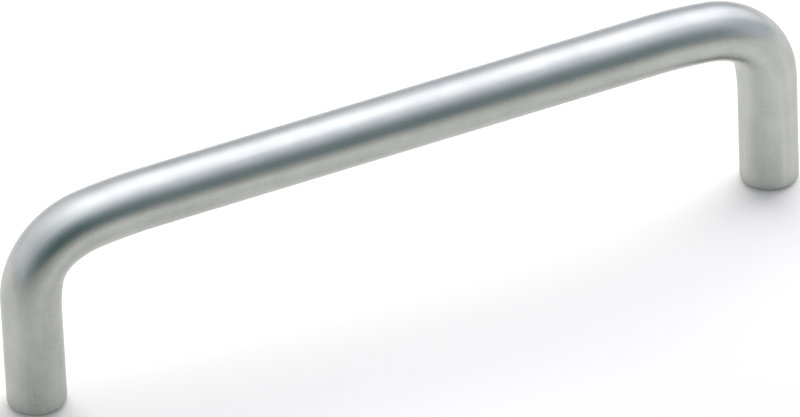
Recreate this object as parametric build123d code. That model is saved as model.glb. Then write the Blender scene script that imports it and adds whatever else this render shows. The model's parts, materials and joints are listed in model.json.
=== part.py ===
from build123d import *
from math import cos, radians, tan
import os

# Bow handle for a drawer or a cabinet door: one round metal rod, bent twice, with a
# tapped hole in the end of each leg. The feet stand on the mounting face at z = 0, the
# bar runs along X, and the origin lies midway between the two holes.

# Sizes in millimetres, angles in degrees
hole_centres = 128.0
rod_diameter = 9.5
projection = 36.5            # from the mounting face to the outside of the bar
bend_inside_radius = 7.0
ease_inside_radius = 74.0    # the slack curve where the bar runs out of each bend
ease_angle = 7.7             # the part of the right-angle turn taken by that slack curve
foot_edge_radius = 1.05
tapping_drill = 3.3          # for an M4 thread of 0.7 mm pitch
drill_depth = 14.0           # to the shoulder of the drill point
drill_point_angle = 118.0
countersink_diameter = 4.4
countersink_angle = 90.0

rod_radius = rod_diameter / 2
foot_x = hole_centres / 2
bar_height = projection - rod_radius


def rod_centreline():
    # Foot to foot: straight leg, bend, slack curve and half the bar, then the same mirrored
    bend_radius = bend_inside_radius + rod_radius
    ease_radius = ease_inside_radius + rod_radius
    bend_rise = bend_radius * cos(radians(ease_angle))
    ease_rise = ease_radius * (1 - cos(radians(ease_angle)))
    leg_length = bar_height - bend_rise - ease_rise
    with BuildLine(Plane.XZ) as centreline:
        leg = Line((-foot_x, 0), (-foot_x, leg_length))
        bend = JernArc(leg @ 1, leg % 1, bend_radius, ease_angle - 90)
        ease = JernArc(bend @ 1, bend % 1, ease_radius, -ease_angle)
        Line(ease @ 1, (0, bar_height))
        mirror(about=Plane.YZ)
    return centreline.wire()


def bent_rod():
    foot = Pos(-foot_x, 0, 0) * Circle(rod_radius)
    rod = sweep(foot, path=rod_centreline())
    foot_edges = rod.edges().group_by(Axis.Z)[0]
    return fillet(foot_edges, foot_edge_radius)


def tapped_hole():
    # Turned profile of the drilled and countersunk hole, mouth at z = 0
    drill_radius = tapping_drill / 2
    mouth_radius = countersink_diameter / 2
    countersink_depth = (mouth_radius - drill_radius) / tan(radians(countersink_angle / 2))
    point_depth = drill_radius / tan(radians(drill_point_angle / 2))
    profile = Polyline(
        (0, 0),
        (mouth_radius, 0),
        (drill_radius, countersink_depth),
        (drill_radius, drill_depth),
        (0, drill_depth + point_depth),
        close=True,
    )
    return revolve(Plane.XZ * make_face(profile), axis=Axis.Z)


handle = bent_rod()
for side in (-1, 1):
    handle -= Pos(side * foot_x, 0, 0) * tapped_hole()

os.makedirs("parts", exist_ok=True)
export_step(handle, "parts/bow_handle.step")
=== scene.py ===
import bmesh
import bpy
import json
import math
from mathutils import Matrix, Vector


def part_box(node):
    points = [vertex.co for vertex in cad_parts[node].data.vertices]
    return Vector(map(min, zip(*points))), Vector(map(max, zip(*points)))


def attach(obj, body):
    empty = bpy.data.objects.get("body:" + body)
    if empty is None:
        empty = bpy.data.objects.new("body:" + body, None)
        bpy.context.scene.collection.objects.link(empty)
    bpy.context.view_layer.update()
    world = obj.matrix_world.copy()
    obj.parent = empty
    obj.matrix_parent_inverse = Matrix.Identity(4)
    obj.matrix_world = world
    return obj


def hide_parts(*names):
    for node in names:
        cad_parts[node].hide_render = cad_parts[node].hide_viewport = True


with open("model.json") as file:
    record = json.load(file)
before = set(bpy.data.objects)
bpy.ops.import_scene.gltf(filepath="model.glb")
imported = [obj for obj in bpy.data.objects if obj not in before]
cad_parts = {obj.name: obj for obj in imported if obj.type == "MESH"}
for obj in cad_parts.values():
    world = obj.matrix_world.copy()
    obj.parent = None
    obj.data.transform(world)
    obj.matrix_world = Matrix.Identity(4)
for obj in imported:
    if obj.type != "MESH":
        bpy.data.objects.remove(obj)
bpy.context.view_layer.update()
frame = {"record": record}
mm = 0.001

# Places that the frame settles: hole spacing, rod thickness, height of the bar
mounts = {mount["name"]: mount for mount in frame["record"]["mounts"]}
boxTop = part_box("bow_handle")[1]
footX = mounts["screw_holes"]["dims"]["spacing_x_mm"] / 2 * mm
rodRadius = boxTop.x - footX
barHeight = boxTop.z - rodRadius
print("frame loaded: hole spacing %.1f mm, rod %.2f mm" % (2 * footX / mm, 2 * rodRadius / mm))

facesRound = 96  # round the rod and round its holes, so that the rings meet point to point


def workOn(*pieces):  # the first one is the active one
    bpy.ops.object.select_all(action="DESELECT")
    for piece in pieces:
        piece.select_set(True)
    bpy.context.view_layer.objects.active = pieces[0]


def startPiece(addPrimitive, name, **shape):
    bpy.ops.object.select_all(action="DESELECT")
    addPrimitive(**shape)
    piece = bpy.context.object
    piece.name = piece.data.name = name
    bpy.ops.object.transform_apply(location=True, rotation=True, scale=True)
    return piece


def editAll():
    bpy.ops.object.mode_set(mode="EDIT")
    bpy.ops.mesh.select_all(action="SELECT")


def editWhere(piece, test):  # picks by place, with the edges and faces between the picked points
    bpy.ops.object.mode_set(mode="EDIT")
    bpy.ops.mesh.select_mode(type="VERT")
    points = bmesh.from_edit_mesh(piece.data)
    for point in points.verts:
        point.select_set(test(point.co))
    points.select_flush_mode()
    bmesh.update_edit_mesh(piece.data)


def endEdit():
    bpy.ops.object.mode_set(mode="OBJECT")


def pullOut(x=0.0, y=0.0, z=0.0):
    bpy.ops.mesh.extrude_region_move(TRANSFORM_OT_translate={"value": (x, y, z)})


def scaleRing(share, centre):
    bpy.ops.transform.resize(value=(share, share, 1), center_override=centre)


# The bent rod: a ring at one foot, drawn up the leg, spun round the bend and on along the bar
rod = {
    "bendInside": 7.0 * mm,
    "easeInside": 74.0 * mm,          # the slack curve where the bar runs out of the bend
    "easeAngle": math.radians(7.7),
    "footRound": 1.05 * mm,
    # the bending tool flattens the inside of the bend, and the metal swells a little below it
    "press": {"turnShare": 1 / 2, "reach": 4.0 * mm, "depth": 0.32 * mm},
    "bulge": {"turnShare": 1 / 9, "reach": 3.0 * mm, "depth": -0.13 * mm},
    "gripHalfWidth": 0.5 * mm,
    "gripDepth": 0.35 * rodRadius,
    "legSteps": 10,
    "bendSteps": 44,
    "easeSteps": 16,
    "barSteps": 20,
    "footRoundSteps": 10,
    "seam": 0.001 * mm,               # where the two halves meet
}
bendRadius = rod["bendInside"] + rodRadius
easeRadius = rod["easeInside"] + rodRadius
bendTurn = math.pi / 2 - rod["easeAngle"]
legTop = barHeight - bendRadius * math.sin(bendTurn) - easeRadius * (1 - math.sin(bendTurn))
bendCentre = Vector((bendRadius - footX, 0, legTop))


def fromLeg(turn):  # the way out of the bend, at a turn up from the leg
    return Vector((-math.cos(turn), 0, math.sin(turn)))


easeCentre = bendCentre + (bendRadius - easeRadius) * fromLeg(bendTurn)


# pushes the bend's inner side in, fading out over the reach
def pressInside(piece, turnShare, reach, depth):
    outward = fromLeg(bendTurn * turnShare)
    middle = bendCentre + outward * rod["bendInside"]
    editWhere(piece, lambda at: abs((at - middle).cross(outward).y) < rod["gripHalfWidth"]
              and (at - bendCentre).length < rod["bendInside"] + rod["gripDepth"])
    bpy.ops.transform.translate(
        value=outward * depth, use_proportional_edit=True, proportional_size=reach,
        proportional_edit_falloff="SMOOTH",
    )
    endEdit()


def makeRod():
    piece = startPiece(
        bpy.ops.mesh.primitive_circle_add, "bent_rod",
        vertices=facesRound, radius=rodRadius, location=(-footX, 0, 0),
    )
    editAll()
    for step in range(rod["legSteps"]):
        pullOut(z=legTop / rod["legSteps"])
    across = (0, -1, 0)
    bpy.ops.mesh.spin(steps=rod["bendSteps"], angle=bendTurn, center=bendCentre, axis=across)
    bpy.ops.mesh.spin(steps=rod["easeSteps"], angle=rod["easeAngle"], center=easeCentre, axis=across)
    for step in range(rod["barSteps"]):
        pullOut(x=-easeCentre.x / rod["barSteps"])
    endEdit()
    pressInside(piece, **rod["press"])
    pressInside(piece, **rod["bulge"])
    bpy.ops.object.modifier_add(type="MIRROR")
    piece.modifiers["Mirror"].merge_threshold = rod["seam"]
    bpy.ops.object.modifier_apply(modifier="Mirror")
    print("rod bent:", len(piece.data.polygons), "faces")
    return piece


# The tapped hole: countersink, right-hand thread, plain drilled end and drill point
hole = {
    "pitch": 0.7 * mm,
    "threadRadius": 2.0 * mm,         # at the bottom of the groove
    "profile": ((0, 0.25), (1, 0.3125), (0, 0.125), (-1, 0.3125)),   # groove depths and pitches
    "threadEnd": 12.0 * mm,
    "spareTurns": 2,                  # cut off again at both ends
    "runOut": 0.35 * mm,
    "pointAngle": math.radians(118),
}
drillRadius = mounts["screw_holes"]["dims"]["hole_r_mm"] * mm
sinkDepth = mounts["screw_holes"]["pos_m"][2]                        # 90 degree countersink
mouthRadius = drillRadius + sinkDepth
drillDepth = sinkDepth + mounts["left_screw_hole"]["dims"]["length_mm"] * mm
nearly = 0.0005 * mm
cutNearly = nearly / 10


def cutFlat(height, **side):
    editAll()
    bpy.ops.mesh.bisect(plane_co=(0, 0, height), plane_no=(0, 0, 1), threshold=cutNearly, **side)
    endEdit()


def bridgeLevels(piece, *levels):
    editWhere(piece, lambda at: min(abs(at.z - level) for level in levels) < nearly)
    bpy.ops.mesh.bridge_edge_loops()
    endEdit()


def makeTappedHole():
    pitch, grooveDepth = hole["pitch"], hole["threadRadius"] - drillRadius
    piece = startPiece(
        bpy.ops.mesh.primitive_plane_add, "tapped_hole",
        size=pitch, location=(drillRadius, 0, -pitch),
    )
    editAll()
    bpy.ops.mesh.merge(type="CENTER")
    for depth, rise in hole["profile"]:
        pullOut(x=depth * grooveDepth, z=rise * pitch)
    endEdit()
    bpy.ops.object.modifier_add(type="SCREW")
    turns = piece.modifiers["Screw"]
    turns.steps = turns.render_steps = facesRound
    turns.screw_offset = pitch
    turns.iterations = math.ceil(hole["threadEnd"] / pitch) + hole["spareTurns"]
    bpy.ops.object.modifier_apply(modifier="Screw")
    editAll()
    bpy.ops.mesh.remove_doubles(threshold=nearly)
    endEdit()
    cutFlat(sinkDepth, clear_inner=True)
    cutFlat(hole["threadEnd"], clear_outer=True)

    # countersink, from where it meets the grooves out to the mouth
    sinkFoot = mouthRadius - hole["threadRadius"]
    bpy.ops.object.mode_set(mode="EDIT")
    bpy.ops.mesh.primitive_circle_add(
        vertices=facesRound, radius=hole["threadRadius"], location=(0, 0, sinkFoot))
    pullOut(z=-sinkFoot)
    scaleRing(mouthRadius / hole["threadRadius"], (0, 0, 0))
    # plain end above the thread, and the cone that the drill point leaves
    plainStart = hole["threadEnd"] + hole["runOut"]
    bpy.ops.mesh.primitive_circle_add(
        vertices=facesRound, radius=drillRadius, location=(0, 0, plainStart))
    pullOut(z=drillDepth - plainStart)
    pullOut(z=drillRadius / math.tan(hole["pointAngle"] / 2))
    bpy.ops.mesh.merge(type="CENTER")
    endEdit()
    bridgeLevels(piece, sinkFoot, sinkDepth)
    bridgeLevels(piece, hole["threadEnd"], plainStart)
    print("tapped hole cut:", len(piece.data.polygons), "faces")
    return piece


def isFoot(at, radius):
    return abs(at.z) < nearly and abs(math.hypot(abs(at.x) - footX, at.y) - radius) < nearly


def closeFeet(piece, tapped):
    workOn(piece)
    for side in (-1, 1):
        editWhere(piece, lambda at: isFoot(at, rodRadius) and at.x * side > 0)
        pullOut()
        scaleRing(mouthRadius / rodRadius, (side * footX, 0, 0))
        endEdit()
    editWhere(piece, lambda at: isFoot(at, rodRadius))
    bpy.ops.mesh.bevel(offset=rod["footRound"], segments=rod["footRoundSteps"], affect="EDGES")
    endEdit()
    workOn(tapped)
    bpy.ops.transform.translate(value=(-footX, 0, 0))
    bpy.ops.object.duplicate()
    otherHole = bpy.context.object
    bpy.ops.transform.translate(value=(2 * footX, 0, 0))
    workOn(piece, tapped, otherHole)
    bpy.ops.object.join()
    editAll()
    bpy.ops.mesh.remove_doubles(threshold=nearly)
    bpy.ops.mesh.normals_make_consistent(inside=False)
    endEdit()
    print("feet closed:", len(piece.data.polygons), "faces")


easeLength, bendLength = easeRadius * rod["easeAngle"], bendRadius * bendTurn
halfLength = easeLength - easeCentre.x + bendLength + legTop


def unbent(at):  # a point's place on the straight rod: across, across, along from the middle
    fold = Vector((-abs(at.x), 0, at.z))
    fromEase, fromBend = fold - easeCentre, fold - bendCentre
    easeTurn = math.atan2(-fromEase.x, fromEase.z)
    legTurn = math.atan2(-fromBend.x, fromBend.z)
    along = -fold.x
    out = fold.z - barHeight
    if fold.x < easeCentre.x:
        along = -easeCentre.x + easeRadius * easeTurn
        out = fromEase.length - easeRadius
    if easeTurn > rod["easeAngle"]:
        along = easeLength - easeCentre.x + bendRadius * (legTurn - rod["easeAngle"])
        out = fromBend.length - bendRadius
    if fold.z < legTop:
        along = halfLength - fold.z
        out = -footX - fold.x
    return out, at.y, math.copysign(along, at.x)


def layGrain(piece):
    grain = piece.data.attributes.new("straightRod", "FLOAT_VECTOR", "POINT")
    for point, place in zip(piece.data.vertices, grain.data):
        place.vector = unbent(point.co)


# Shader maths: a Wire is one socket, sums and products of wires add their own Math nodes
class Wire:
    def __init__(self, tree, socket=None):
        self.tree = tree
        self.socket = socket

    def node(self, kind, settings, sockets, output=0):
        made = self.tree.nodes.new(kind)
        for name, value in settings.items():
            setattr(made, name, value)
        for name, value in sockets.items():
            if isinstance(value, Wire):
                self.tree.links.new(value.socket, made.inputs[name])
            else:
                made.inputs[name].default_value = value
        return Wire(self.tree, made.outputs[output] if made.outputs else None)

    def maths(self, operation, *others):
        values = dict(enumerate((self, *others)))
        return self.node("ShaderNodeMath", {"operation": operation}, values)

    def __add__(self, other):
        return self.maths("ADD", other)

    def __sub__(self, other):
        return self.maths("SUBTRACT", other)

    def __rsub__(self, other):
        return (self * -1) + other

    def __mul__(self, other):
        return self.maths("MULTIPLY", other)

    __radd__ = __add__
    __rmul__ = __mul__

    def vectors(self, operation, other, output=0):
        return self.node("ShaderNodeVectorMath", {"operation": operation}, {0: self, 1: other}, output)

    def grain(self, across, along, detail):  # noise, with its counts per metre across and along
        stretched = self.vectors("MULTIPLY", (across, across, along))
        return self.node("ShaderNodeTexNoise", {},
                         {"Vector": stretched, "Scale": 1.0, "Detail": detail})

    def ramp(self, low, high):
        return self.node("ShaderNodeMapRange", {"interpolation_type": "SMOOTHSTEP"},
                         {"Value": self, "From Min": low, "From Max": high})

    def dot(self, direction):
        return self.vectors("DOT_PRODUCT", direction, "Value")

    def mixed(self, colourA, colourB):
        return self.node("ShaderNodeMix", {"data_type": "RGBA"},
                         {"Factor": self, 6: colourA, 7: colourB}, 2)

    def blended(self, way, colour):
        return self.node("ShaderNodeMix", {"data_type": "RGBA", "blend_type": way},
                         {"Factor": 1.0, 6: self, 7: colour}, 2)


def newMaterial(name):
    material = bpy.data.materials.new(name)
    material.use_nodes = True
    material.node_tree.nodes.clear()
    return material, Wire(material.node_tree)


def surface(start, **sockets):
    named = {key.replace("_", " "): value for key, value in sockets.items()}
    shader = start.node("ShaderNodeBsdfPrincipled", {}, named)
    start.node("ShaderNodeOutputMaterial", {}, {"Surface": shader})


def onRod(start):  # the place on the straight rod, as layGrain left it
    return start.node("ShaderNodeAttribute", {"attribute_name": "straightRod"}, {}, "Vector")


def bumped(height, strength, distance):
    return height.node("ShaderNodeBump", {},
                       {"Strength": strength, "Distance": distance, "Height": height})


white = (1, 1, 1, 1)
black = (0, 0, 0, 1)
noiseMiddle = 0.5

satin = {
    "pale": (0.471, 0.488, 0.451, 1),
    "dull": (0.418, 0.433, 0.400, 1),
    "edge": (0.835, 0.835, 0.835, 1),                          # its sheen along the outline
    "roughness": 0.27,
    "fine": {"across": 40, "along": 2400, "detail": 1.0},      # polishing lines round the rod
    "streaks": {"across": 650, "along": 45, "detail": 2.0},    # drawing streaks along it
    "clouds": {"across": 190, "along": 190, "detail": 3.0},
    "streakShare": 0.5,
    "paleUpTo": 0.36,
    "dullFrom": 0.64,
    "fineRoughness": 0.012,
    "cloudRoughness": 0.06,
    "reliefStrength": 0.0015,
    "reliefHeight": 0.02 * mm,
}


def satinMetal():
    material, start = newMaterial("satinMetal")
    rodPlace = onRod(start)
    fine = rodPlace.grain(**satin["fine"])
    streaks = rodPlace.grain(**satin["streaks"])
    clouds = rodPlace.grain(**satin["clouds"])
    wear = clouds * (1 - satin["streakShare"]) + streaks * satin["streakShare"]
    colour = wear.ramp(satin["paleUpTo"], satin["dullFrom"]).mixed(satin["pale"], satin["dull"])
    roughness = satin["roughness"] + (fine - noiseMiddle) * satin["fineRoughness"]
    roughness = roughness + (clouds - noiseMiddle) * satin["cloudRoughness"]
    relief = bumped(fine, satin["reliefStrength"], satin["reliefHeight"])
    surface(start, Base_Color=colour, Metallic=1.0, Specular_Tint=satin["edge"],
            Roughness=roughness, Normal=relief)
    return material


turned = {
    "bright": (0.50, 0.50, 0.48, 1),
    "dark": (0.30, 0.29, 0.27, 1),
    "roughness": 0.34,
    "toolMarksPerMetre": 9000,        # rings left by facing the foot
    "markShare": 0.15,
    "oil": {"across": 700, "along": 700, "detail": 3.0},
    "oilFrom": 0.35,
    "oilUpTo": 0.7,
    "oilShare": 0.7,
    "oilRoughness": 0.2,
    "reliefStrength": 0.25,
    "reliefHeight": 0.02 * mm,
}


def turnedMetal():
    material, start = newMaterial("turnedMetal")
    rodPlace = onRod(start)
    fromAxis = rodPlace.vectors("MULTIPLY", (1, 1, 0)).vectors("DISTANCE", (0, 0, 0), "Value")
    marks = (fromAxis * (turned["toolMarksPerMetre"] * math.tau)).maths("SINE") * 0.5 + 0.5
    oil = rodPlace.grain(**turned["oil"])
    stain = oil.ramp(turned["oilFrom"], turned["oilUpTo"])
    dirt = stain * turned["oilShare"] + marks * turned["markShare"]
    colour = dirt.mixed(turned["bright"], turned["dark"])
    roughness = turned["roughness"] + (oil - noiseMiddle) * turned["oilRoughness"]
    relief = bumped(marks, turned["reliefStrength"], turned["reliefHeight"])
    surface(start, Base_Color=colour, Metallic=1.0, Roughness=roughness, Normal=relief)
    return material


def paintHandle(piece):
    piece.data.materials.clear()
    piece.data.materials.append(satinMetal())
    piece.data.materials.append(turnedMetal())
    faced = rodRadius - rod["footRound"] + nearly
    for face in piece.data.polygons:
        fromHole = math.hypot(abs(face.center.x) - footX, face.center.y)
        face.material_index = int(fromHole < faced and face.center.z < drillDepth + drillRadius)
    print("finishes laid on")


smoothUpTo = math.radians(30)

handle = makeRod()
closeFeet(handle, makeTappedHole())
layGrain(handle)
paintHandle(handle)
bpy.ops.object.shade_smooth_by_angle(angle=smoothUpTo)
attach(handle, "root")
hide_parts("bow_handle")

# White light tent: brighter at the top, a dark opening in front, soft glows on the right and behind
tent = {
    "foot": (0.749, 0.786, 0.908, 1),
    "top": (1.682, 1.698, 1.887, 1),
    "topPower": 5.28,
}
opening = {
    "azimuth": -13.9,                 # from straight in front, to the right
    "elevation": 15.4,
    "roll": -2.4,
    "spread": 0.314,                  # above 0 for a wide oval, below 0 for a narrow one
    "edge": 0.648,                    # the cosine where it begins
    "middle": 1.092,                  # and where it would be full
    "colour": (0.000, 0.107, 0.089, 1),
}
sideGlow = {
    "azimuth": 113.6,
    "elevation": 51.2,
    "roll": 3.1,
    "spread": -0.745,
    "edge": 0.514,
    "middle": 1.098,
    "colour": (1.028, 0.999, 1.128, 1),
}
backGlow = {
    "azimuth": 207.6,
    "elevation": 38.9,
    "roll": -54.0,
    "spread": -0.711,
    "edge": 0.191,
    "middle": 1.083,
    "colour": (0.502, 0.456, 0.461, 1),
}


def towards(azimuth, elevation):
    turn, lift = math.radians(azimuth), math.radians(elevation)
    level = Vector((math.sin(turn), -math.cos(turn), 0))
    return level * math.cos(lift) + Vector((0, 0, math.sin(lift)))


def softOval(outward, oval):  # 1 in its middle, 0 outside its edge
    axis = towards(oval["azimuth"], oval["elevation"])
    level = axis.cross(Vector((0, 0, 1))).normalized()
    roll = math.radians(oval["roll"])
    across = outward.dot(level * math.cos(roll) + level.cross(axis) * math.sin(roll))
    return (outward.dot(axis) + across * across * oval["spread"]).ramp(oval["edge"], oval["middle"])


def lightTent():
    world = bpy.data.worlds.new("lightTent")
    bpy.context.scene.world = world
    world.use_nodes = True
    world.node_tree.nodes.clear()
    start = Wire(world.node_tree)
    outward = start.node("ShaderNodeTexCoord", {}, {}, "Generated")
    rise = outward.dot((0, 0, 1)).maths("MAXIMUM", 0.0).maths("POWER", tent["topPower"])
    cloth = rise.mixed(tent["foot"], tent["top"])
    cloth = cloth.blended("MULTIPLY", softOval(outward, opening).mixed(white, opening["colour"]))
    for glow in (sideGlow, backGlow):
        cloth = cloth.blended("ADD", softOval(outward, glow).mixed(black, glow["colour"]))
    light = start.node("ShaderNodeBackground", {}, {"Color": cloth, "Strength": 1.0})
    start.node("ShaderNodeOutputWorld", {}, {"Surface": light})


# A large lamp for the paper, kept out of the metal's reflections
backLight = {
    "azimuth": 143.9,
    "elevation": 28.4,
    "distance": 2.2,
    "halfSize": 0.886,                # at one metre
    "radiance": 8.290,
}


def hangBackLight():
    back = towards(backLight["azimuth"], backLight["elevation"])
    bpy.ops.object.light_add(type="AREA", location=back * backLight["distance"])
    lamp = bpy.context.object
    lamp.rotation_euler = back.to_track_quat("Z", "Y").to_euler()
    lamp.data.size = 2 * backLight["halfSize"] * backLight["distance"]
    lamp.data.energy = backLight["radiance"] * math.pi * lamp.data.size ** 2
    lamp.visible_camera = False
    lamp.visible_glossy = False


paper = {
    "radius": 6.0,
    "sides": 64,
    "drop": 0.02 * mm,                # below the feet
    "pale": (0.294, 0.288, 0.280, 1),
    "frontShade": (0.129, 0.127, 0.123, 1),
    "frontFrom": -0.009,
    "frontTo": 0.141,
    "azimuth": -21.8,                 # the shade deepens this way, towards the dark opening
    "patchPlace": (-0.036, -0.097, 0),        # painted light: a wide paler patch in front of the bar, lightening the bar's shadow
    "patchRadius": 0.096,
    "patchGain": (1.397, 1.397, 1.397, 1),
    "shine": 0.20,                    # painted light: the paper glows by itself, with no lamp below, so its shadows stay pale
}


def paperFloor():
    floor = startPiece(
        bpy.ops.mesh.primitive_circle_add, "floor",
        vertices=paper["sides"], radius=paper["radius"], fill_type="NGON",
        location=(0, 0, -paper["drop"]),
    )
    material, start = newMaterial("palePaper")
    place = start.node("ShaderNodeTexCoord", {}, {}, "Object")
    forward = place.dot(towards(paper["azimuth"], 0)).ramp(paper["frontFrom"], paper["frontTo"])
    # painted light: a paler patch on the paper that lightens the bar's shadow in front of it
    paintedLight = place.vectors("DISTANCE", paper["patchPlace"], "Value").ramp(paper["patchRadius"], 0.0)
    colour = forward.mixed(paper["pale"], paper["frontShade"])
    colour = colour.blended("MULTIPLY", paintedLight.mixed(white, paper["patchGain"]))
    # the paper's emission is painted light from no lamp, which keeps its shadows pale
    surface(start, Base_Color=colour, Roughness=1.0, Specular_IOR_Level=0.0,
            Emission_Color=white, Emission_Strength=paper["shine"])
    floor.data.materials.append(material)


lightTent()
hangBackLight()
paperFloor()
print("studio lit")

photoView = {
    "azimuth": -24.298,
    "elevation": 34.844,
    "roll": -2.467,
    "distance": 2.0338,
    "focalLength": 584.0,
    "aside": -0.565 * mm,             # from the middle of the handle to the middle of the picture
    "down": -0.587 * mm,
    "farthest": 100,
}


def setCamera():
    tilt = math.radians(90 - photoView["elevation"])
    bpy.ops.object.camera_add(rotation=(tilt, 0, math.radians(photoView["azimuth"])))
    camera = bpy.context.object
    camera.rotation_euler.rotate_axis("Z", math.radians(photoView["roll"]))
    turn = camera.rotation_euler.to_matrix()
    middle = Vector((0, 0, barHeight / 2))
    stand = Vector((photoView["aside"], photoView["down"], photoView["distance"]))
    camera.location = middle + turn @ stand
    camera.data.lens = photoView["focalLength"]
    camera.data.clip_end = photoView["farthest"]
    bpy.context.scene.camera = camera


setCamera()
bpy.context.scene.view_settings.view_transform = "Standard"
print("camera set")
